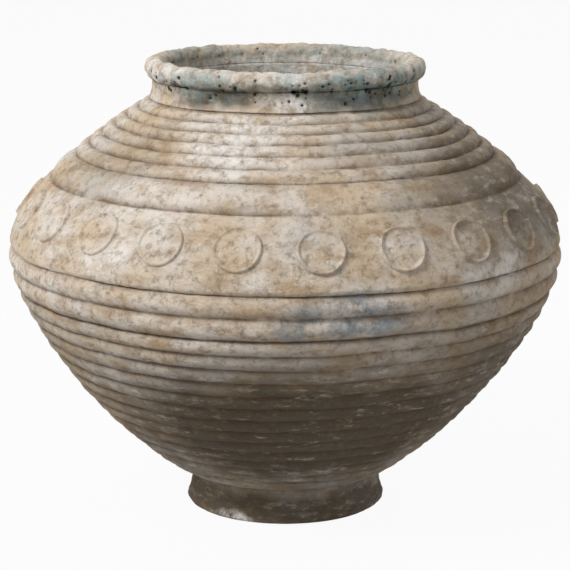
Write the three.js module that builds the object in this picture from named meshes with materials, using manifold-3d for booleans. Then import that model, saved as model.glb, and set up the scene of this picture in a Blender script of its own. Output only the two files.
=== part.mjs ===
// A wide, ribbed storage jar of fired clay, put together as a potter luted it:
// a foot ring, two thrown body sections, a neck collar, a rolled rim and a frieze of stamped medallions.
// Millimetres, +Z up, origin on the axis at the level that the foot stands on.
import * as THREE from 'three';
import { mergeVertices } from 'three/addons/utils/BufferGeometryUtils.js';
import Module from 'manifold-3d';

const wasm = await Module();
wasm.setup();

const point = (radius, height) => new THREE.Vector2(radius, height);

// Joints and walls
const slipGap = 0.3; // slip-filled seam between two pieces
const wall = 11.5; // thickness behind the crests
const floorLevel = 27;
const recessHeight = 15; // hollow under the floor, inside the foot ring
const keyHeight = 3; // ridge on a lower piece that keys into the piece on it
const keyWidth = 5;

// Foot ring
const footHeight = 25.5;
const footInnerRadius = 60;
const standInnerRadius = 63; // the flat face that it stands on
const standOuterRadius = 74;
const toeRadius = 77;
const toeHeight = 2.5;
const footWaistRadius = 73;

// Lower section: the crests of its ribs lie on a cubic curve through these points
const springRadius = 73.4;
const springPull = point(107, 35);
const girthPull = point(202, 131);
const girth = point(210.5, 196);
const lowerRibCount = 13;
const highestRib = 11.5; // heights of the highest and the lowest throwing rib
const lowestRib = 8;
const lowerRibDepth = 1.7;
const lowerRibTop = 173.8;
const cordGroove = 190.5; // between the two heavy cords
const cordRadius = 210.6;
const cordDepth = 3.6;
const seamLevel = 206.4;
const seamRadius = 206.9;
const seamWall = 9.9;

// Upper section: a smooth band for the frieze, one heavy bead, small ribs and a collar
const bandBase = point(209.5, 210);
const bandPull = point(204.5, 235);
const bandTop = point(178.5, 256.2);
const beadBase = point(180.3, 258.6);
const shoulderPull = point(146.5, 289.5);
const shoulderTop = point(103, 316);
const beadTop = 274; // height of the groove over the bead
const beadDepth = 3;
const shoulderRibCount = 5;
const shoulderRibHeight = 8; // of the lowest one
const shoulderRibShrink = 0.92; // each rib's height over that of the one below it
const shoulderRibDepth = 2.2;

// Neck and rolled rim
const neckBore = 90;
const neckFootRadius = 103.4;
const neckFoot = 316;
const neckTopRadius = 101.2;
const neckTop = 329.8;
const neckWaist = 1.3; // how far it is drawn in half-way up
const throatLevel = 311; // where the bore opens into the belly
const rollCentre = point(98.5, 337.2);
const rollThickness = 14.8;

// Medallions
const medallionCount = 22;
const firstAzimuth = -57.8; // degrees from the front, towards -X
const spacingUnevenness = 0.6; // degrees, as they were laid by hand
const friezeLean = 4; // how far the frieze sits above its middle level at -X, and below it at +X
const medallionRadius = 17.25;
const medallionThickness = 1.6;
const borderWidth = 2.4;
const borderHeight = 0.8; // above the medallion's field
const pitRadius = 1.6;
const pitDepth = 1.1;
const pitCircle = 8.5; // radius that the four outer pits stand on
const stampTurns = [10, 27, 22, 0, 25, 3, 15]; // degrees that the stamp was turned, one after another

// How finely round shapes are cut
const roundSteps = 36;
const discSteps = 14;
const pitSteps = 4;
const smallRibSteps = 3;
const heavyRibSteps = 5;

const darkClay = { color: 0x6f6557, roughness: 0.95, metalness: 0 };
const paleClay = { color: 0xb9aa98, roughness: 0.95, metalness: 0 };
const glazedClay = { color: 0xa9b5ab, roughness: 0.7, metalness: 0 };

const lowerSpring = point(springRadius, footHeight + slipGap);
const lowerCrest = new THREE.CubicBezierCurve(lowerSpring, springPull, girthPull, girth);
const cordCrest = new THREE.LineCurve(point(cordRadius, cordGroove), point(cordRadius, seamLevel));
const bandCurve = new THREE.QuadraticBezierCurve(bandBase, bandPull, bandTop);
const shoulderCrest = new THREE.QuadraticBezierCurve(beadBase, shoulderPull, shoulderTop);

// The point at t on an outline curve, moved towards the inside of the wall.
function inward(curve, t, distance) {
  const along = curve.getTangent(t);
  return curve.getPoint(t).addScaledVector(point(-along.y, along.x), distance);
}

// The place on a crest curve whose groove, depth into the wall, lies at the height.
function placeOf(crest, height, depth) {
  let low = 0;
  let high = 1;
  const halvings = 30;
  for (let i = 0; i < halvings; i++) {
    const middle = (low + high) / 2;
    if (inward(crest, middle, depth).y < height) low = middle;
    else high = middle;
  }
  return low;
}

// Ribs between grooves at the given heights: each one's lower groove, then points over its swelling.
function ribs(crest, grooves, depth, steps) {
  const places = grooves.map((height) => placeOf(crest, height, depth));
  const points = [];
  for (let i = 0; i + 1 < places.length; i++) {
    for (let step = 0; step < steps; step++) {
      const swelling = Math.sqrt(Math.sin((Math.PI * step) / steps));
      const t = THREE.MathUtils.lerp(places[i], places[i + 1], step / steps);
      points.push(inward(crest, t, depth * (1 - swelling)));
    }
  }
  return points;
}

// The inside of a wall that follows a curve, from its top to its bottom.
function inside(curve, steps) {
  const points = [];
  for (let i = steps - 1; i > 0; i--) {
    points.push(inward(curve, i / steps, wall));
  }
  return points;
}

// A key's outline on a joint at a level, from the outside in.
function key(middle, level) {
  return [
    point(middle + keyWidth / 2, level),
    point(middle, level + keyHeight),
    point(middle - keyWidth / 2, level),
  ];
}

function positionsOnly(geometry) {
  geometry.deleteAttribute('normal');
  geometry.deleteAttribute('uv');
  return mergeVertices(geometry, 1e-4);
}

// Turns a closed outline, listed anticlockwise, round the jar's axis.
function turned(outline) {
  const geometry = new THREE.LatheGeometry([...outline, outline[0]], roundSteps);
  geometry.rotateX(Math.PI / 2);
  return positionsOnly(geometry);
}

function addPiece(group, name, geometry, look) {
  const mesh = new THREE.Mesh(geometry, new THREE.MeshStandardMaterial(look));
  geometry.computeVertexNormals();
  mesh.name = name;
  group.add(mesh);
}

function footRing() {
  const outline = [point(footInnerRadius, toeHeight), point(standInnerRadius, 0), point(standOuterRadius, 0)];
  outline.push(point(toeRadius, toeHeight));
  const steps = 4;
  for (let i = 1; i <= steps; i++) {
    const s = i / steps;
    const radius = footWaistRadius + (toeRadius - footWaistRadius) * (1 - s) ** 2;
    outline.push(point(radius, THREE.MathUtils.lerp(toeHeight, footHeight, s)));
  }
  outline.push(point(footInnerRadius, footHeight));
  return turned(outline);
}

// Heights of the grooves between the throwing ribs, from the lowest up.
function lowerGrooves() {
  const grooves = [lowerRibTop];
  for (let i = 0; i < lowerRibCount; i++) {
    const share = (i / (lowerRibCount - 1)) ** 2;
    grooves.unshift(grooves[0] - THREE.MathUtils.lerp(highestRib, lowestRib, share));
  }
  return grooves;
}

function lowerBody() {
  const plugRadius = footInnerRadius - slipGap;
  const grooves = lowerGrooves();
  const plain = placeOf(lowerCrest, grooves[0], lowerRibDepth);
  return turned([
    point(0, recessHeight),
    point(plugRadius, recessHeight),
    point(plugRadius, lowerSpring.y),
    lowerSpring,
    lowerCrest.getPoint(plain / 3),
    lowerCrest.getPoint((2 * plain) / 3),
    ...ribs(lowerCrest, grooves, lowerRibDepth, smallRibSteps),
    ...ribs(lowerCrest, [lowerRibTop, cordGroove], cordDepth, heavyRibSteps),
    ...ribs(cordCrest, [cordGroove, seamLevel], cordDepth, heavyRibSteps),
    point(seamRadius, seamLevel),
    ...key(seamRadius - seamWall / 2, seamLevel),
    point(seamRadius - seamWall, seamLevel),
    ...inside(lowerCrest, 8),
    point(plugRadius, floorLevel + slipGap * 8),
    point(0, floorLevel),
  ]);
}

function upperBody() {
  const base = seamLevel + slipGap;
  const grooves = [beadTop];
  for (let i = 0; i < shoulderRibCount; i++) {
    grooves.push(grooves[i] + shoulderRibHeight * shoulderRibShrink ** i);
  }
  const bandSteps = 5;
  return turned([
    point(seamRadius - seamWall, base),
    ...key(seamRadius - seamWall / 2, base).reverse(),
    point(seamRadius, base),
    point((seamRadius + bandBase.x) / 2 + slipGap, (base + bandBase.y) / 2 - slipGap),
    ...Array.from({ length: bandSteps }, (_, i) => bandCurve.getPoint(i / bandSteps)),
    ...ribs(shoulderCrest, [bandTop.y, beadTop], beadDepth, heavyRibSteps),
    ...ribs(shoulderCrest, [...grooves, neckFoot], shoulderRibDepth, smallRibSteps),
    point(neckFootRadius, neckFoot),
    ...key((neckFootRadius + neckBore) / 2, neckFoot),
    point(neckBore, neckFoot),
    point(neckBore, throatLevel),
    ...inside(shoulderCrest, 6),
    ...inside(bandCurve, 4),
    inward(bandCurve, 0, wall),
  ]);
}

function neckCollar() {
  const foot = neckFoot + slipGap;
  const outline = [point(neckBore, foot), ...key((neckFootRadius + neckBore) / 2, foot).reverse()];
  const steps = 4;
  for (let i = 0; i <= steps; i++) {
    const s = i / steps;
    const radius = THREE.MathUtils.lerp(neckFootRadius, neckTopRadius, s) - neckWaist * Math.sin(Math.PI * s);
    outline.push(point(radius, THREE.MathUtils.lerp(foot, neckTop, s)));
  }
  outline.push(point(neckBore, neckTop));
  return turned(outline);
}

function rolledRim() {
  const seat = neckTop + slipGap;
  const roll = rollThickness / 2;
  const start = Math.asin((seat - rollCentre.y) / roll);
  const outline = [point(neckBore + slipGap, seat)];
  const steps = 11;
  for (let i = 0; i <= steps; i++) {
    const turn = THREE.MathUtils.lerp(start, Math.PI, i / steps);
    outline.push(point(rollCentre.x + roll * Math.cos(turn), rollCentre.y + roll * Math.sin(turn)));
  }
  return turned(outline);
}

function toSolid(geometry) {
  return new wasm.Manifold(new wasm.Mesh({
    numProp: 3,
    vertProperties: new Float32Array(geometry.attributes.position.array),
    triVerts: new Uint32Array(geometry.index.array),
  }));
}

function toGeometry(solid) {
  const mesh = solid.getMesh();
  return new THREE.BufferGeometry()
    .setAttribute('position', new THREE.BufferAttribute(new Float32Array(mesh.vertProperties), 3))
    .setIndex(new THREE.BufferAttribute(new Uint32Array(mesh.triVerts), 1));
}

// One stamped disc, flat, its back at height 0 and its face towards +Z, with five pits.
function flatMedallion(turn) {
  const outline = [
    point(0, 0),
    point(medallionRadius / 2, 0),
    point(medallionRadius, 0),
    point(medallionRadius, medallionThickness),
    point(medallionRadius - borderWidth / 2, medallionThickness + borderHeight),
    point(medallionRadius - borderWidth, medallionThickness),
    point(0, medallionThickness),
  ];
  const disc = new THREE.LatheGeometry(outline, discSteps);
  disc.rotateX(Math.PI / 2);
  let solid = toSolid(positionsOnly(disc));
  const outerPits = 4;
  for (let i = 0; i <= outerPits; i++) {
    const pit = new THREE.ConeGeometry(pitRadius, 2 * pitDepth, pitSteps);
    pit.rotateX(-Math.PI / 2);
    const angle = turn + (i * 2 * Math.PI) / outerPits;
    const reach = i < outerPits ? pitCircle : 0;
    pit.translate(reach * Math.cos(angle), reach * Math.sin(angle), medallionThickness);
    solid = solid.subtract(toSolid(positionsOnly(pit)));
  }
  return toGeometry(solid);
}

// Lays a flat medallion on the band's curved wall, centred at an azimuth from the front.
function laidMedallion(azimuth, turn) {
  const geometry = flatMedallion(turn);
  const position = geometry.attributes.position;
  const length = bandCurve.getLength();
  const middle = length / 2 - friezeLean * Math.sin(azimuth);
  for (let i = 0; i < position.count; i++) {
    const t = bandCurve.getUtoTmapping((middle + position.getY(i)) / length);
    const raised = inward(bandCurve, t, -(position.getZ(i) + slipGap));
    const angle = azimuth + position.getX(i) / bandCurve.getPoint(t).x;
    position.setXYZ(i, raised.x * Math.sin(angle), -raised.x * Math.cos(angle), raised.y);
  }
  return geometry;
}

const jar = new THREE.Group();
addPiece(jar, 'foot_ring', footRing(), darkClay);
addPiece(jar, 'lower_body', lowerBody(), darkClay);
addPiece(jar, 'upper_body', upperBody(), paleClay);
addPiece(jar, 'neck_collar', neckCollar(), glazedClay);
addPiece(jar, 'rolled_rim', rolledRim(), glazedClay);

const { degToRad } = THREE.MathUtils;
for (let i = 0; i < medallionCount; i++) {
  const even = degToRad(firstAzimuth + (360 / medallionCount) * i);
  const azimuth = even - degToRad(spacingUnevenness) * Math.cos(2 * even);
  const turn = degToRad(stampTurns[i % stampTurns.length]);
  addPiece(jar, `medallion_${String(i + 1).padStart(2, '0')}`, laidMedallion(azimuth, turn), paleClay);
}

export default jar;
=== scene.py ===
# Looks of a weathered, ribbed storage jar: dense turned meshes, stamped medallions and clay materials.
# Sizes are in millimetres until a mesh is made, and azimuths in degrees from the front, towards +X.
import itertools
import math

import bpy
import numpy as np
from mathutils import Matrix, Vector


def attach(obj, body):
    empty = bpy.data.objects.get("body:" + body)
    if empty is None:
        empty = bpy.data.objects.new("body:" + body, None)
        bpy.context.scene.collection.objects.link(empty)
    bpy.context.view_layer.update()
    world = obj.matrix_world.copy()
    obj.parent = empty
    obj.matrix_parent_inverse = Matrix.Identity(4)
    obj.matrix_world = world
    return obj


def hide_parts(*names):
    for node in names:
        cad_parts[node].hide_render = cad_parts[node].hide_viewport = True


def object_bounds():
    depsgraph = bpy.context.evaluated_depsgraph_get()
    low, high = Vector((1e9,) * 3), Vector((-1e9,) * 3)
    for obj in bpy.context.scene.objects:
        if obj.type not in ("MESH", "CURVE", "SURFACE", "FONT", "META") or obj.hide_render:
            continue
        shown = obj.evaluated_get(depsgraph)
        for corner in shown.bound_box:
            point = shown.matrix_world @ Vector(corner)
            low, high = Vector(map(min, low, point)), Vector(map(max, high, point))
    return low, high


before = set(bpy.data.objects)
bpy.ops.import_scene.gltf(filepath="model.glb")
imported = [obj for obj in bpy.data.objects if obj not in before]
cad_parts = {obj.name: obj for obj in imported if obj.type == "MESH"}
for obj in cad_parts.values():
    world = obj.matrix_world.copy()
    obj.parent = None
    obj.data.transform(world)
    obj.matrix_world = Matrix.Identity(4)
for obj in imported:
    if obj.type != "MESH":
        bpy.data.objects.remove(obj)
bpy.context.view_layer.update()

MM = 0.001
COLUMNS = 600  # vertices round the jar
POINT_GAP = 1.1  # between points of an outer outline
EDGE_GAP = 0.7  # of a small rounded edge
COLLAR_GAP = 0.8
BORE_GAP = 2
INSIDE_GAP = 2.5
FACE_GAP = 4  # of a hidden or flat face
CURVE_SAMPLES = 20  # to measure a curve's length
FEWEST_RIB_STEPS = 6
HALVINGS = 30
RIB_ROUNDNESS = 0.72  # 0.5 for a half-round rib, more for wider grooves
GROOVE_SHARPNESS = 1.7  # of the dirt and painted shade in a groove, more for a narrower line

# Foot ring
FOOT_HEIGHT = 25.6
FOOT_INNER_RADIUS = 60
STAND_INNER_RADIUS = 63
STAND_OUTER_RADIUS = 74
TOE_RADIUS = 77
TOE_HEIGHT = 2.5
FOOT_WAIST_RADIUS = 73
BEVEL_NORMAL = (-0.6, -0.8)  # of the edge inside the ring
RECESS_HEIGHT = 15
FLOOR_LEVEL = 27
FLOOR_EDGE = (FOOT_INNER_RADIUS + 4, FLOOR_LEVEL + 3)
POLE_RING = 2  # radius of the last ring before the axis
WALL = 11.5
FLOOR_JOIN = 0.12  # where the inside of the crest curve meets the floor

# Crests of the lower section's ribs, and its grooves
LOWER_CREST = [(73.4, FOOT_HEIGHT), (107, 35), (202, 131), (210.5, 196)]
LOWER_RIBS = 13
HIGHEST_RIB = 11.5
LOWEST_RIB = 8
LOWER_RIB_DEPTH = 2.3
LOWER_RIB_TOP = 173.8
CORD_GROOVE = 190.5
CORD_RADIUS = 210.6
CORD_DEPTH = 4.3
SEAM_LEVEL = 206.4
SEAM_RADIUS = 206.9
SEAM_INNER_RADIUS = 197
SEAM_EDGE = 1  # width of the dirt and painted shade at a seam's mouth

# Upper section
BAND = [(209.5, 210), (204.5, 235), (178.5, 256.2)]
SHOULDER_CREST = [(180.3, 258.6), (146.5, 289.5), (103, 316)]
BEAD_TOP = 274
BEAD_DEPTH = 3.6
SHOULDER_RIBS = 5
SHOULDER_RIB_HEIGHT = 8
SHOULDER_RIB_SHRINK = 0.92
SHOULDER_RIB_DEPTH = 2.7
BAND_EDGE = (BAND[0][0] - 0.4, SEAM_LEVEL + 0.6)  # rounds the band's lower edge
BAND_EDGE_START = 0.15
SHOULDER_JOIN = 0.85  # where the inside of the shoulder meets the throat
BAND_JOIN = 0.9

# Neck and rolled rim
NECK_BORE = 90
NECK_FOOT_RADIUS = 103.4
NECK_FOOT = 316
NECK_TOP_RADIUS = 101.2
NECK_TOP = 330
NECK_WAIST = 1.3
THROAT_LEVEL = 311
ROLL_CENTRE = (98.5, 337.2)
ROLL_RADIUS = 7.4
ROLL_STEPS = 34
ROLL_FOOT = (NECK_BORE + 0.9, ROLL_CENTRE[1] - 2)  # where the roll runs down into the bore

# Medallions
MEDALLIONS = 22
FIRST_AZIMUTH = -57.8
SPACING_UNEVENNESS = 0.6
FRIEZE_LEAN = 4
MEDALLION_RADIUS = 17.4
DISC_RINGS = 34
DISC_SPOKES = 96
DISC_BACK = -1.5  # sunk into the wall
DISC_EDGE_WIDTH = 1.6
DISC_EDGE_POWER = 0.6
DISC_EDGE_DROP = 0.5
# painted shade round a disc's edge, where it meets the band
DISC_EDGE_SHADE = 0.35
OUTER_PITS = 4
BAND_SAMPLES = 400
MEAN_WEAR = 0.82
WEAR_CHANGE = 0.18
FIELD_HEIGHT = 0.7
BORDER_MIDDLE = 15.9
BORDER_WIDTH = 1.35
BORDER_HEIGHT = 2.2
PIT_RADIUS = 1.5
PIT_DEPTH = 1.7
PIT_CIRCLE = 8.5
STAMP_TURNS = [10, 27, 22, 0, 25, 3, 15]


# Noise and curves


def noise(points, size, seed):
    """Smooth noise from -1 to 1 at points, with features about size across."""
    cells = 48
    table = np.random.default_rng(seed).uniform(-1, 1, (cells, cells, cells))
    place = points / size
    base = np.floor(place).astype(int)
    part = place - base
    part = part * part * (3 - 2 * part)
    total = np.zeros(len(points))
    for corner in itertools.product((0, 1), repeat=3):
        weight = np.ones(len(points))
        for axis in range(3):
            weight *= part[:, axis] if corner[axis] else 1 - part[:, axis]
        i, j, k = ((base + corner) % cells).T
        total += weight * table[i, j, k]
    return total


def bezier(controls, t):
    """Points of a Bezier curve at an array of places t."""
    rows = [np.outer(np.ones_like(t), c).astype(float) for c in controls]
    while len(rows) > 1:
        rows = [a + (b - a) * t[:, None] for a, b in itertools.pairwise(rows)]
    return rows[0]


def outward(controls, t):
    """Unit normals of a Bezier outline, away from the clay."""
    step = 1e-4
    along = bezier(controls, t + step) - bezier(controls, t - step)
    normals = np.stack([along[:, 1], -along[:, 0]], axis=1)
    return normals / np.linalg.norm(normals, axis=1)[:, None]


def place_of(controls, height, depth):
    """Where on a crest curve a groove of that depth lies at the height."""
    low, high = 0.0, 1.0
    for _ in range(HALVINGS):
        middle = np.array([(low + high) / 2])
        groove = bezier(controls, middle) - depth * outward(controls, middle)
        if groove[0, 1] < height:
            low = middle[0]
        else:
            high = middle[0]
    return low


class Outline:
    """A turned section's outline: points, their outward normals, how deep in a groove and whether inside."""

    def __init__(self):
        self.points = []
        self.normals = []
        self.grooves = []
        self.inside = []

    def add(self, points, normals, groove=0.0, inside=0.0):
        count = len(points)
        self.points.append(np.asarray(points, float).reshape(count, 2))
        self.normals.append(np.broadcast_to(np.asarray(normals, float), (count, 2)))
        self.grooves.append(np.broadcast_to(groove, count))
        self.inside.append(np.full(count, inside))

    def line(self, start, end, normal, inside=0.0, gap=POINT_GAP):
        """A straight stretch from start up to, but not at, end."""
        start, end = np.array(start, float), np.array(end, float)
        steps = max(1, round(np.linalg.norm(end - start) / gap))
        t = np.arange(steps) / steps
        self.add(start + (end - start) * t[:, None], normal, 0.0, inside)

    def curve(self, controls, t0, t1, inside=0.0, shift=0.0, gap=POINT_GAP):
        """A stretch of a Bezier curve, shifted along its outward normals."""
        ends = bezier(controls, np.linspace(t0, t1, CURVE_SAMPLES))
        length = np.linalg.norm(np.diff(ends, axis=0), axis=1).sum()
        t = np.linspace(t0, t1, max(2, round(length / gap)), endpoint=False)
        normals = outward(controls, t)
        facing = -normals if inside else normals
        self.add(bezier(controls, t) + shift * normals, facing, 0.0, inside)

    def ribs(self, controls, heights, depth):
        """Rounded ribs between grooves at the heights."""
        places = [place_of(controls, height, depth) for height in heights]
        for t0, t1 in itertools.pairwise(places):
            ends = bezier(controls, np.array([t0, t1]))
            steps = max(FEWEST_RIB_STEPS, round(np.linalg.norm(ends[1] - ends[0]) / POINT_GAP))
            s = np.arange(steps) / steps
            swelling = np.sin(math.pi * s) ** RIB_ROUNDNESS
            t = t0 + (t1 - t0) * s
            normals = outward(controls, t)
            sunk = depth * (1 - swelling)
            # Darkens the bottom of each groove: dirt and painted shade
            dirt_and_shade = (1 - swelling) ** GROOVE_SHARPNESS
            self.add(bezier(controls, t) - sunk[:, None] * normals, normals, dirt_and_shade)

    def arrays(self):
        return (
            np.concatenate(self.points),
            np.concatenate(self.normals),
            np.concatenate(self.grooves),
            np.concatenate(self.inside),
        )


# Surface: how the wall departs from its outline, and what is painted where

# Noise on the surface: size across, amount and seed
WOBBLES = [(62, 0.7, 1), (21, 0.45, 2), (8.5, 0.4, 3), (4, 0.34, 4)]
CRUSTS = [(6.5, 0.7, 8), (3.3, 0.4, 9)]
GROOVE_WEAR = (30, 1.3, 5)
SAG = (75, 0.8, 6)  # of the level of each ring
DRIFT_ROUND = (26, 5, 11)  # of a spot's edge, in degrees
DRIFTS_UP = [(22, 6, 12), (7, 2.5, 13)]
CRUST_LEVEL = 322  # the glaze left on the neck and rim is crusted above this
CRUST_FADE = 6
INSIDE_SMOOTHNESS = 0.5
INSIDE_PALE = 0.75
INSIDE_GLAZE = 0.4
SPOT_EDGE = 1.5  # where a spot has faded, in its half widths
PIT_REACH = 2.5  # in a pit's radii

# Holes burst in the glaze of the rim and neck: azimuth, height, radius, depth
PITS = np.random.default_rng(7)
PIT_COUNT = 230
PIT_AZIMUTHS = PITS.uniform(-180, 180, PIT_COUNT)
PIT_HEIGHTS = PITS.triangular(318, 332, 343, PIT_COUNT)
PIT_RADII = PITS.triangular(0.6, 0.8, 2.2, PIT_COUNT)
PIT_DEPTHS = PITS.uniform(0.7, 1.8, PIT_COUNT)

# Each spot: azimuth, height, half its width in degrees, half its height in millimetres, strength
PALE = [
    (-14, 298, 17, 15, 1.0),
    (-32, 262, 12, 10, 0.5),
    (-38, 224, 8, 10, 0.7),
    (46, 208, 8, 13, 0.7),
    (-60, 196, 16, 14, 0.5),
    (-18, 214, 12, 8, 0.3),
    (3, 322, 10, 9, 1.0),
    (-62, 341, 34, 10, 0.8),
    (2, 341, 10, 11, 1.0),
    (80, 341, 20, 8, 0.5),
    (-29, 3, 9, 4, 1.0),
    (0, 342, 180, 6, 0.6),
    (140, 300, 25, 15, 0.7),
    (200, 226, 20, 14, 0.5),
    (-110, 290, 20, 16, 0.6),
]
# Stains and painted shade: the dark spots low on the body are partly painted shade beneath the belly, and
# those on the neck are painted shadow under the rolled rim
STAINS_AND_SHADE = [
    # painted shade under the belly, with real staining
    (8, 92, 58, 56, 1.15),
    (55, 110, 40, 62, 0.85),
    (-62, 110, 40, 60, 0.45),
    (-40, 62, 30, 32, 0.6),
    (64, 262, 30, 44, 0.8),
    (30, 292, 16, 14, 0.35),
    (-52, 276, 18, 22, 0.3),
    # painted shadow on the neck under the rolled rim
    (-28, 325, 24, 7, 1.1),
    (38, 324, 26, 7, 1.0),
    (6, 332, 14, 3, 0.9),
    (180, 110, 90, 60, 0.8),
    (150, 270, 40, 30, 0.4),
    (0, 10, 180, 18, 0.9),
]
BLUE = [
    (12, 188, 11, 16, 1.2),
    (24, 321, 14, 8, 0.6),
    (7, 246, 5, 14, 0.25),
    (170, 180, 12, 20, 0.6),
]
GLAZE = [
    (-36, 333, 30, 9, 0.75),
    (40, 335, 38, 10, 1.0),
    (150, 338, 50, 10, 0.6),
    (-130, 338, 30, 10, 0.7),
    (38, 322, 30, 8, 0.45),
    (-26, 324, 14, 7, 0.4),
]


def wander(places, size, amount, seed):
    return amount * noise(places, size, seed)


def azimuth_of(places):
    return np.degrees(np.arctan2(places[:, 0], -places[:, 1]))


def turn_between(azimuth, middle):
    """Degrees from the middle to an azimuth, from -180 to 180."""
    return (azimuth - middle + 180) % 360 - 180


def spots(chart, azimuth, height):
    """The strongest of a chart's soft-edged spots at each azimuth and height."""
    best = np.zeros(len(azimuth))
    for middle, level, half_width, half_height, strength in chart:
        across = turn_between(azimuth, middle)
        distance = np.hypot(across / half_width, (height - level) / half_height)
        best = np.maximum(best, strength * np.clip(SPOT_EDGE - distance, 0, 1))
    return best


def relief(places, grooves, inside):
    """How far the fired surface stands off its outline: hand wobble, grit and uneven grooves."""
    rough = sum(wander(places, *wobble) for wobble in WOBBLES)
    crust = np.clip((places[:, 2] - CRUST_LEVEL) / CRUST_FADE, 0, 1)
    rough = rough + crust * sum(wander(places, *lumps) for lumps in CRUSTS)
    rough = rough + grooves * wander(places, *GROOVE_WEAR)
    return rough * (1 - INSIDE_SMOOTHNESS * inside)


def burst_pits(azimuth, height):
    """Depth of the burst bubbles in the glaze at each azimuth and height."""
    sunk = np.zeros(len(azimuth))
    for middle, level, radius, depth in zip(PIT_AZIMUTHS, PIT_HEIGHTS, PIT_RADII, PIT_DEPTHS):
        across = np.radians(turn_between(azimuth, middle)) * ROLL_CENTRE[0]
        distance = np.hypot(across, height - level) / radius
        near = distance < PIT_REACH
        sunk[near] = np.maximum(sunk[near], depth * np.exp(-distance[near] ** 2))
    return sunk


def paint(mesh, places, grooves, inside, pit_shade):
    """Stores on a mesh its stains and painted shade, where it is pale, blue and glazed, its grooves with
    their dirt and painted shade, and its pits with their painted shade.
    """
    azimuth = azimuth_of(places) + wander(places, *DRIFT_ROUND)
    height = places[:, 2] + sum(wander(places, *drift) for drift in DRIFTS_UP)
    outside = 1 - inside
    masks = {
        "stain_and_shade": spots(STAINS_AND_SHADE, azimuth, height) * outside,
        "pale": np.maximum(spots(PALE, azimuth, height) * outside, INSIDE_PALE * inside),
        "blue": spots(BLUE, azimuth, height) * outside,
        "glaze": np.maximum(spots(GLAZE, azimuth, height) * outside, INSIDE_GLAZE * inside),
        "groove": grooves,
        "pit_shade": pit_shade,
    }
    for name, values in masks.items():
        attribute = mesh.attributes.new(name, "FLOAT", "POINT")
        attribute.data.foreach_set("value", values.astype(np.float32))


def make_piece(name, places, faces, masks, node):
    """Makes a mesh of places in millimetres that stands for a CAD node."""
    mesh = bpy.data.meshes.new(name)
    mesh.from_pydata((places * MM).tolist(), [], faces)
    paint(mesh, places, *masks)
    mesh.shade_smooth()
    mesh.materials.append(clay)
    piece = bpy.data.objects.new(name, mesh)
    bpy.context.scene.collection.objects.link(piece)
    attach(piece, "root")
    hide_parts(node)


def ring_faces(rows, on_axis):
    """Faces between rings of vertices, the last ring joined to the first unless they close on the axis."""
    index = np.arange(rows * COLUMNS).reshape(rows, COLUMNS)
    below = index[:-1] if on_axis else index
    above = index[1:] if on_axis else np.roll(index, -1, axis=0)
    quads = np.stack([below, np.roll(below, -1, axis=1), np.roll(above, -1, axis=1), above], axis=-1)
    return quads.reshape(-1, 4).tolist()


def turned(name, outline, node, on_axis=False, pits=False):
    """Turns an outline round the axis, with its relief. On_axis outlines start and end on the axis."""
    profile, normals, grooves, inside = outline.arrays()
    rows = len(profile)
    angle = np.arange(COLUMNS) * 2 * math.pi / COLUMNS
    sin, cos = np.tile(np.sin(angle), rows), np.tile(np.cos(angle), rows)
    radius, height = (np.repeat(profile[:, k], COLUMNS) for k in (0, 1))
    out, up = (np.repeat(normals[:, k], COLUMNS) for k in (0, 1))
    groove, inner = np.repeat(grooves, COLUMNS), np.repeat(inside, COLUMNS)
    places = np.stack([radius * sin, -radius * cos, height], axis=1)
    offset = relief(places, groove, inner)
    sunk = np.zeros(len(places))
    if pits:
        sunk = burst_pits(azimuth_of(places), height) * (1 - inner)
    offset = offset - sunk
    radius = radius + out * offset
    height = height + up * offset + wander(places, *SAG)
    standing = places[:, 2] < TOE_HEIGHT
    height[standing] = np.maximum(places[standing, 2], 0)
    places = np.stack([radius * sin, -radius * cos, height], axis=1)

    faces = ring_faces(rows, on_axis)
    # Pit depth, kept for the painted shade in the pits
    pit_shade = np.clip(sunk, 0, 1)
    if on_axis:
        poles = np.array([[0, 0, RECESS_HEIGHT], [0, 0, FLOOR_LEVEL]], float)
        bottom, top = len(places), len(places) + 1
        places = np.concatenate([places, poles])
        groove = np.append(groove, [0, 0])
        inner = np.append(inner, [0, 1])
        pit_shade = np.append(pit_shade, [0, 0])
        first = np.arange(COLUMNS)
        last = first + (rows - 1) * COLUMNS
        faces += [[bottom, b, a] for a, b in zip(first, np.roll(first, -1))]
        faces += [[top, a, b] for a, b in zip(last, np.roll(last, -1))]
    make_piece(name, places, faces, (groove, inner, pit_shade), node)


# Clay


# Sockets of a colour mix node, whose names repeat
MIX_FACTOR = 0
MIX_UNDER = 6
MIX_OVER = 7
MIX_RESULT = 2

DRY_ROUGHNESS = 0.92
GLAZE_GLOSS = 0.4
SPECULAR = 0.3
GRAIN_DEPTH = 3.2 * MM
COARSE_GRAIN = 0.8


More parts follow.
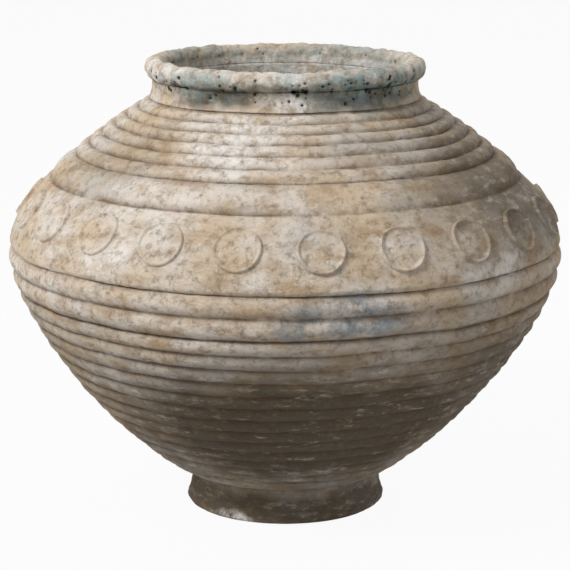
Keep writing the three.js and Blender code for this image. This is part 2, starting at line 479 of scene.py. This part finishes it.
class Nodes:
    """Short names for building a node tree."""

    def __init__(self, tree):
        self.tree = tree
        self.place = self.add("ShaderNodeTexCoord").outputs["Object"]

    def add(self, kind):
        return self.tree.nodes.new(kind)

    def link(self, source, socket):
        self.tree.links.new(source, socket)

    def mask(self, name):
        node = self.add("ShaderNodeAttribute")
        node.attribute_name = name
        return node.outputs["Fac"]

    def noise(self, scale, detail=5, rough=0.6, stretch=(1, 1, 1), offset=(0, 0, 0)):
        mapping = self.add("ShaderNodeMapping")
        mapping.inputs["Scale"].default_value = stretch
        mapping.inputs["Location"].default_value = offset
        self.link(self.place, mapping.inputs["Vector"])
        node = self.add("ShaderNodeTexNoise")
        node.inputs["Scale"].default_value = scale
        node.inputs["Detail"].default_value = detail
        node.inputs["Roughness"].default_value = rough
        self.link(mapping.outputs["Vector"], node.inputs["Vector"])
        return node.outputs["Fac"]

    def ramp(self, value, low, high, top=1.0):
        node = self.add("ShaderNodeMapRange")
        node.interpolation_type = "SMOOTHSTEP"
        node.inputs["From Min"].default_value = low
        node.inputs["From Max"].default_value = high
        node.inputs["To Max"].default_value = top
        self.link(value, node.inputs["Value"])
        return node.outputs["Result"]

    def math(self, operation, a, b):
        node = self.add("ShaderNodeMath")
        node.operation = operation
        for socket, value in zip(node.inputs, (a, b)):
            if isinstance(value, (int, float)):
                socket.default_value = value
            else:
                self.link(value, socket)
        return node.outputs["Value"]

    def mix(self, amount, under, over):
        """Colour over laid on colour under."""
        node = self.add("ShaderNodeMix")
        node.data_type = "RGBA"
        self.link(amount, node.inputs[MIX_FACTOR])
        for index, value in ((MIX_UNDER, under), (MIX_OVER, over)):
            socket = node.inputs[index]
            if isinstance(value, tuple):
                socket.default_value = value
            else:
                self.link(value, socket)
        return node.outputs[MIX_RESULT]


def colour(red, green, blue):
    """A linear colour from display values of 0 to 255."""
    parts = [v / 255 for v in (red, green, blue)]
    return (*[p / 12.92 if p <= 0.04045 else ((p + 0.055) / 1.055) ** 2.4 for p in parts], 1.0)


def bare_clay(n):
    """Colour of the clay with its stains and painted shade, from the lowest layer up, and how stained and
    shaded it is.
    """
    sandy, grey, ochre = colour(204, 184, 158), colour(218, 209, 198), colour(166, 136, 102)
    soot_and_shade, white = colour(78, 68, 54), colour(238, 232, 226)
    body = n.mix(n.ramp(n.noise(22), 0.38, 0.62), sandy, grey)
    body = n.mix(n.ramp(n.noise(40, 7, 0.65, (1, 1, 2.5), (3, 1, 0)), 0.46, 0.66, 0.6), body, ochre)
    # Soot-coloured stains and painted shade: painted shade beneath the belly and painted shadow on the neck
    # under the rim
    stain_and_shade = n.math("MULTIPLY", n.mask("stain_and_shade"), n.ramp(n.noise(60, 9, 0.75, (1, 1, 3)), 0.22, 0.52))
    body = n.mix(n.math("MINIMUM", stain_and_shade, 0.95), body, soot_and_shade)
    pale = n.math("MULTIPLY", n.mask("pale"), n.ramp(n.noise(75, 8, 0.75), 0.38, 0.56))
    return n.mix(pale, body, white), stain_and_shade


def glazed_clay(n, body):
    """The clay's colour under the remains of glaze, and how glazed it is."""
    slate, turquoise, moss = colour(140, 150, 156), colour(136, 160, 160), colour(92, 100, 84)
    blue = n.math("MULTIPLY", n.mask("blue"), n.ramp(n.noise(60, 8, 0.7, offset=(0, 5, 2)), 0.36, 0.6))
    body = n.mix(blue, body, slate)
    glaze = n.math("MULTIPLY", n.mask("glaze"), n.ramp(n.noise(85, 9, 0.75, offset=(7, 0, 3)), 0.34, 0.56))
    glazed = n.mix(n.ramp(n.noise(120, 8, 0.7, offset=(2, 4, 0)), 0.42, 0.62), turquoise, moss)
    return n.mix(glaze, body, glazed), glaze


def dirty_and_shaded_clay(n, body, stain_and_shade):
    """The clay's colour under mottling and dust, with dirt and painted shade in its grooves and painted shade
    in its pits.
    """
    shade, grit, umber = colour(118, 100, 78), colour(214, 204, 190), colour(96, 72, 48)
    mottle = n.ramp(n.noise(150, 10, 0.75, offset=(4, 4, 4)), 0.47, 0.68, 0.7)
    body = n.mix(mottle, body, shade)
    dust = n.ramp(n.noise(210, 10, 0.8, (1, 1, 1.6), (9, 2, 6)), 0.54, 0.74, 0.5)
    clean = n.math("SUBTRACT", 1, n.math("MINIMUM", stain_and_shade, 0.7))
    body = n.mix(n.math("MULTIPLY", dust, clean), body, grit)
    patchy = n.ramp(n.noise(28, 8, 0.7, (1, 1, 0.6), (1, 9, 0)), 0.3, 0.6, 0.85)
    # Umber in the grooves and at the seams, in patches: dirt and painted shade
    body = n.mix(n.math("MULTIPLY", n.mask("groove"), patchy), body, umber)
    body = n.mix(n.ramp(n.noise(330, 6, 0.8, offset=(5, 8, 1)), 0.62, 0.72, 0.7), body, umber)
    # Painted shade in the pits
    return n.mix(n.ramp(n.mask("pit_shade"), 0.3, 0.9), body, colour(50, 47, 38))


def clay_material():
    material = bpy.data.materials.new("weathered_clay")
    material.use_nodes = True
    n = Nodes(material.node_tree)
    surface = material.node_tree.nodes["Principled BSDF"]

    body, stain_and_shade = bare_clay(n)
    body, glaze = glazed_clay(n, body)
    n.link(dirty_and_shaded_clay(n, body, stain_and_shade), surface.inputs["Base Color"])

    gloss = n.math("MULTIPLY", glaze, GLAZE_GLOSS)
    n.link(n.math("SUBTRACT", DRY_ROUGHNESS, gloss), surface.inputs["Roughness"])
    surface.inputs["Specular IOR Level"].default_value = SPECULAR

    coarse = n.math("MULTIPLY", n.noise(60, 6, 0.7), COARSE_GRAIN)
    grain = n.math("ADD", n.noise(170, 12, 0.78), coarse)
    bump = n.add("ShaderNodeBump")
    bump.inputs["Strength"].default_value = 1.0
    bump.inputs["Distance"].default_value = GRAIN_DEPTH
    n.link(grain, bump.inputs["Height"])
    n.link(bump.outputs["Normal"], surface.inputs["Normal"])
    return material


# Sections


def foot_ring():
    outline = Outline()
    outline.line((FOOT_INNER_RADIUS, TOE_HEIGHT), (STAND_INNER_RADIUS, 0), BEVEL_NORMAL)
    outline.line((STAND_INNER_RADIUS, 0), (STAND_OUTER_RADIUS, 0), (0, -1), gap=BORE_GAP)
    toe = [(STAND_OUTER_RADIUS, 0), (TOE_RADIUS, 0), (TOE_RADIUS, TOE_HEIGHT)]
    outline.curve(toe, 0, 1, gap=EDGE_GAP)
    waist = (FOOT_WAIST_RADIUS, FOOT_HEIGHT / 2)
    outline.curve([(TOE_RADIUS, TOE_HEIGHT), waist, (FOOT_WAIST_RADIUS, FOOT_HEIGHT)], 0, 1)
    outline.line((FOOT_WAIST_RADIUS, FOOT_HEIGHT), (FOOT_INNER_RADIUS, FOOT_HEIGHT), (0, 0), gap=FACE_GAP)
    outline.line((FOOT_INNER_RADIUS, FOOT_HEIGHT), (FOOT_INNER_RADIUS, TOE_HEIGHT), (-1, 0), gap=BORE_GAP)
    turned("foot_ring_clay", outline, "foot_ring")


def lower_body():
    grooves = [LOWER_RIB_TOP]
    for i in range(LOWER_RIBS):
        share = (i / (LOWER_RIBS - 1)) ** 2
        grooves.insert(0, grooves[0] - HIGHEST_RIB + (HIGHEST_RIB - LOWEST_RIB) * share)
    outline = Outline()
    outline.line((POLE_RING, RECESS_HEIGHT), (FOOT_INNER_RADIUS, RECESS_HEIGHT), (0, -1), gap=FACE_GAP)
    outline.line((FOOT_INNER_RADIUS, RECESS_HEIGHT), (FOOT_INNER_RADIUS, FOOT_HEIGHT), (0, 0), gap=FACE_GAP)
    outline.line((FOOT_INNER_RADIUS, FOOT_HEIGHT), LOWER_CREST[0], (0, 0), gap=FACE_GAP)
    outline.curve(LOWER_CREST, 0, place_of(LOWER_CREST, grooves[0], LOWER_RIB_DEPTH))
    outline.ribs(LOWER_CREST, grooves, LOWER_RIB_DEPTH)
    outline.ribs(LOWER_CREST, [LOWER_RIB_TOP, CORD_GROOVE], CORD_DEPTH)
    upright = [(CORD_RADIUS, CORD_GROOVE), (CORD_RADIUS, SEAM_LEVEL)]
    outline.ribs(upright, [CORD_GROOVE, SEAM_LEVEL], CORD_DEPTH)
    # Dirt and painted shade at the seam's mouth
    outline.add([(SEAM_RADIUS, SEAM_LEVEL)], (1, 0), 1.0)
    outline.line((SEAM_RADIUS - SEAM_EDGE, SEAM_LEVEL), (SEAM_INNER_RADIUS, SEAM_LEVEL), (0, 0), gap=FACE_GAP)
    outline.curve(LOWER_CREST, 1, FLOOR_JOIN, inside=1.0, shift=-WALL, gap=INSIDE_GAP)
    outline.line(FLOOR_EDGE, (POLE_RING, FLOOR_LEVEL), (0, 1), inside=1.0, gap=FACE_GAP)
    turned("lower_body_clay", outline, "lower_body", on_axis=True)


def upper_body():
    grooves = [BEAD_TOP]
    for i in range(SHOULDER_RIBS):
        grooves.append(grooves[i] + SHOULDER_RIB_HEIGHT * SHOULDER_RIB_SHRINK**i)
    outline = Outline()
    outline.line((SEAM_INNER_RADIUS, SEAM_LEVEL), (SEAM_RADIUS - SEAM_EDGE, SEAM_LEVEL), (0, 0), gap=FACE_GAP)
    # Dirt and painted shade at the seam's mouth
    outline.add([(SEAM_RADIUS, SEAM_LEVEL)], (1, 0), 1.0)
    outline.curve([(SEAM_RADIUS, SEAM_LEVEL), BAND_EDGE, BAND[0]], BAND_EDGE_START, 1, gap=EDGE_GAP)
    outline.curve(BAND, 0, 1)
    outline.ribs(SHOULDER_CREST, [BAND[2][1], BEAD_TOP], BEAD_DEPTH)
    outline.ribs(SHOULDER_CREST, [*grooves, NECK_FOOT], SHOULDER_RIB_DEPTH)
    # Dirt and painted shade where the shoulder meets the neck
    outline.add([(NECK_FOOT_RADIUS, NECK_FOOT)], (0.8, 0.6), 1.0)
    outline.line((NECK_FOOT_RADIUS - SEAM_EDGE, NECK_FOOT), (NECK_BORE, NECK_FOOT), (0, 0), gap=FACE_GAP)
    outline.line((NECK_BORE, NECK_FOOT), (NECK_BORE, THROAT_LEVEL), (-1, 0), inside=1.0, gap=BORE_GAP)
    outline.curve(SHOULDER_CREST, SHOULDER_JOIN, 0, inside=1.0, shift=-WALL, gap=INSIDE_GAP)
    outline.curve(BAND, BAND_JOIN, 0, inside=1.0, shift=-WALL, gap=INSIDE_GAP)
    turned("upper_body_clay", outline, "upper_body")


def neck_collar():
    middle = ((NECK_FOOT_RADIUS + NECK_TOP_RADIUS) / 2 - 2 * NECK_WAIST, (NECK_FOOT + NECK_TOP) / 2)
    outline = Outline()
    outline.line((NECK_BORE, NECK_FOOT), (NECK_FOOT_RADIUS, NECK_FOOT), (0, 0), gap=FACE_GAP)
    outline.curve([(NECK_FOOT_RADIUS, NECK_FOOT), middle, (NECK_TOP_RADIUS, NECK_TOP)], 0, 1, gap=COLLAR_GAP)
    outline.line((NECK_TOP_RADIUS, NECK_TOP), (NECK_BORE, NECK_TOP), (0, 0), gap=FACE_GAP)
    outline.line((NECK_BORE, NECK_TOP), (NECK_BORE, NECK_FOOT), (-1, 0), inside=1.0, gap=BORE_GAP)
    turned("neck_collar_clay", outline, "neck_collar", pits=True)


def rolled_rim():
    start = math.asin((NECK_TOP - ROLL_CENTRE[1]) / ROLL_RADIUS)
    turn = np.linspace(start, math.pi, ROLL_STEPS)
    facing = np.stack([np.cos(turn), np.sin(turn)], axis=1)
    outline = Outline()
    outline.add([(NECK_BORE, NECK_TOP)], (-1, 0), inside=1.0)
    outline.line((NECK_BORE + SEAM_EDGE, NECK_TOP), ROLL_CENTRE[:1] + (NECK_TOP,), (0, 0), gap=FACE_GAP)
    outline.add(np.array(ROLL_CENTRE) + ROLL_RADIUS * facing, facing)
    outline.line(ROLL_FOOT, (NECK_BORE, NECK_TOP), (-1, 0), inside=1.0)
    turned("rolled_rim_clay", outline, "rolled_rim", pits=True)


def disc_faces(count):
    """Faces of a disc's face and back, of count vertices each, and of the edge between them."""
    centre = count - 1
    faces = []
    for offset, flip in ((0, 1), (count, -1)):
        for j in range(DISC_SPOKES):
            k = (j + 1) % DISC_SPOKES
            faces.append([offset + centre, offset + j, offset + k][::flip])
            for i in range(DISC_RINGS - 1):
                a, b = i * DISC_SPOKES, (i + 1) * DISC_SPOKES
                faces.append([offset + a + j, offset + b + j, offset + b + k, offset + a + k][::flip])
    rim = (DISC_RINGS - 1) * DISC_SPOKES
    for j in range(DISC_SPOKES):
        k = (j + 1) % DISC_SPOKES
        faces.append([rim + j, count + rim + j, count + rim + k, rim + k])
    return faces


def pits_of_stamp(across, along, turn):
    """How deep each place of a disc is in one of its five pits, from 0 to 1."""
    centres = [(0, 0)]
    for i in range(OUTER_PITS):
        angle = math.radians(turn) + i * 2 * math.pi / OUTER_PITS
        centres.append((PIT_CIRCLE * math.cos(angle), PIT_CIRCLE * math.sin(angle)))
    pits = np.zeros(len(across))
    for x, y in centres:
        gap = np.hypot(across - x, along - y) / PIT_RADIUS
        pits = np.maximum(pits, np.exp(-(gap**2)))
    return pits


def on_band(across, along, lift, azimuth):
    """Lays a disc's places on the band, raised by the lift over its relief."""
    t = np.linspace(0, 1, BAND_SAMPLES)
    steps = np.linalg.norm(np.diff(bezier(BAND, t), axis=0), axis=1)
    lengths = np.insert(np.cumsum(steps), 0, 0)
    middle = lengths[-1] / 2 - FRIEZE_LEAN * math.sin(math.radians(azimuth))
    place = np.interp(middle + along, lengths, t)
    wall, normals = bezier(BAND, place), outward(BAND, place)
    angle = math.radians(azimuth) + across / wall[:, 0]
    at_rest = np.stack([wall[:, 0] * np.sin(angle), -wall[:, 0] * np.cos(angle), wall[:, 1]], axis=1)
    plain = np.zeros(len(angle))
    off = relief(at_rest, plain, plain) + lift
    radius = wall[:, 0] + normals[:, 0] * off
    level = wall[:, 1] + normals[:, 1] * off + wander(at_rest, *SAG)
    return np.stack([radius * np.sin(angle), -radius * np.cos(angle), level], axis=1)


def medallion(number, azimuth, turn, wear):
    """A stamped disc that follows the band's relief, with a raised border and five pits."""
    reach = np.linspace(0, MEDALLION_RADIUS, DISC_RINGS + 1)[1:]
    bearing = np.arange(DISC_SPOKES) * 2 * math.pi / DISC_SPOKES
    ring, spoke = (grid.ravel() for grid in np.meshgrid(reach, bearing, indexing="ij"))
    across = np.append(ring * np.cos(spoke), 0)
    along = np.append(ring * np.sin(spoke), 0)
    distance = np.append(ring, 0)

    pits = pits_of_stamp(across, along, turn)
    border = BORDER_HEIGHT * np.exp(-(((distance - BORDER_MIDDLE) / BORDER_WIDTH) ** 2))
    edge = np.clip((MEDALLION_RADIUS - distance) / DISC_EDGE_WIDTH, 0, 1)
    lift = (FIELD_HEIGHT + border) * wear * edge**DISC_EDGE_POWER - DISC_EDGE_DROP * (1 - edge)
    lift -= PIT_DEPTH * wear * pits

    count = len(across)
    face = on_band(across, along, lift, azimuth)
    back = on_band(across, along, DISC_BACK, azimuth)
    # Painted shade round the disc's edge and in its pits
    dirt_and_shade = np.maximum(DISC_EDGE_SHADE * (distance > BORDER_MIDDLE + BORDER_WIDTH), pits)
    masks = (np.tile(dirt_and_shade, 2), np.zeros(2 * count), np.tile(pits, 2))
    node = f"medallion_{number:02d}"
    make_piece(f"{node}_clay", np.concatenate([face, back]), disc_faces(count), masks, node)


# Studio


CAMERA_PLACE = (0, -1.5, 0.5048)  # metres
CAMERA_TILT = math.radians(77.355)
CAMERA_LENS = 125.4
# Each lamp: place in metres, size in metres, power in watts
LAMPS = {
    "key": ((-1.7, -1.2, 2.2), 0.9, 88),
    "fill": ((2.2, -1.2, 1.1), 1.4, 12),
    "back": ((0.6, 2.2, 1.8), 1.5, 14),
}
AMBIENT_COLOUR = (1, 0.99, 0.97, 1)
AMBIENT_STRENGTH = 0.38
FLOOR_RADIUS = 9  # metres
FLOOR_SIDES = 96
FLOOR_COLOUR = (0.5, 0.5, 0.5, 1)
FLOOR_GLOW = 0.94  # how much of the floor that the camera sees is plain white


def add_camera():
    camera = bpy.data.objects.new("camera", bpy.data.cameras.new("camera"))
    camera.location = CAMERA_PLACE
    camera.rotation_euler = (CAMERA_TILT, 0, 0)
    camera.data.lens = CAMERA_LENS
    bpy.context.scene.collection.objects.link(camera)
    bpy.context.scene.camera = camera


def add_lamps():
    for name, (place, size, power) in LAMPS.items():
        lamp = bpy.data.objects.new(name, bpy.data.lights.new(name, "AREA"))
        lamp.data.size = size
        lamp.data.energy = power
        lamp.location = place
        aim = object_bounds()[1] / 2 - lamp.location
        lamp.rotation_euler = aim.to_track_quat("-Z", "Y").to_euler()
        bpy.context.scene.collection.objects.link(lamp)


def add_world():
    """White behind the jar, and a softer light on it."""
    world = bpy.data.worlds.new("studio")
    bpy.context.scene.world = world
    world.use_nodes = True
    nodes, links = world.node_tree.nodes, world.node_tree.links
    seen = nodes["Background"]
    ambient = nodes.new("ShaderNodeBackground")
    seen.inputs["Color"].default_value = (1, 1, 1, 1)
    ambient.inputs["Color"].default_value = AMBIENT_COLOUR
    ambient.inputs["Strength"].default_value = AMBIENT_STRENGTH
    mix = nodes.new("ShaderNodeMixShader")
    links.new(white_to_camera(world.node_tree), mix.inputs["Fac"])
    links.new(ambient.outputs[0], mix.inputs[1])
    links.new(seen.outputs[0], mix.inputs[2])
    links.new(mix.outputs[0], nodes["World Output"].inputs["Surface"])


def add_floor():
    bpy.ops.mesh.primitive_circle_add(vertices=FLOOR_SIDES, radius=FLOOR_RADIUS, fill_type="NGON")
    floor = bpy.context.object
    floor.name = "floor"
    paper = bpy.data.materials.new("paper")
    paper.use_nodes = True
    floor.data.materials.append(paper)
    nodes, links = paper.node_tree.nodes, paper.node_tree.links
    surface = nodes["Principled BSDF"]
    surface.inputs["Base Color"].default_value = FLOOR_COLOUR
    surface.inputs["Roughness"].default_value = 1
    glow = nodes.new("ShaderNodeEmission")
    part = nodes.new("ShaderNodeMath")
    part.operation = "MULTIPLY"
    part.inputs[1].default_value = FLOOR_GLOW
    links.new(white_to_camera(paper.node_tree), part.inputs[0])
    mix = nodes.new("ShaderNodeMixShader")
    links.new(part.outputs[0], mix.inputs["Fac"])
    links.new(surface.outputs[0], mix.inputs[1])
    links.new(glow.outputs[0], mix.inputs[2])
    links.new(mix.outputs[0], nodes["Material Output"].inputs["Surface"])


def white_to_camera(tree):
    """1 for rays that show the background: from the camera, or off a gloss."""
    path = tree.nodes.new("ShaderNodeLightPath")
    either = tree.nodes.new("ShaderNodeMath")
    either.operation = "MAXIMUM"
    tree.links.new(path.outputs["Is Camera Ray"], either.inputs[0])
    tree.links.new(path.outputs["Is Glossy Ray"], either.inputs[1])
    return either.outputs[0]


bpy.context.scene.view_settings.view_transform = "Standard"
add_camera()
add_lamps()
add_world()
add_floor()
clay = clay_material()
foot_ring()
lower_body()
upper_body()
neck_collar()
rolled_rim()
for number in range(MEDALLIONS):
    even = FIRST_AZIMUTH + 360 / MEDALLIONS * number
    uneven = even - SPACING_UNEVENNESS * math.cos(2 * math.radians(even))
    wear = MEAN_WEAR + WEAR_CHANGE * math.sin(math.radians(even))
    medallion(number + 1, uneven, STAMP_TURNS[number % len(STAMP_TURNS)], wear)
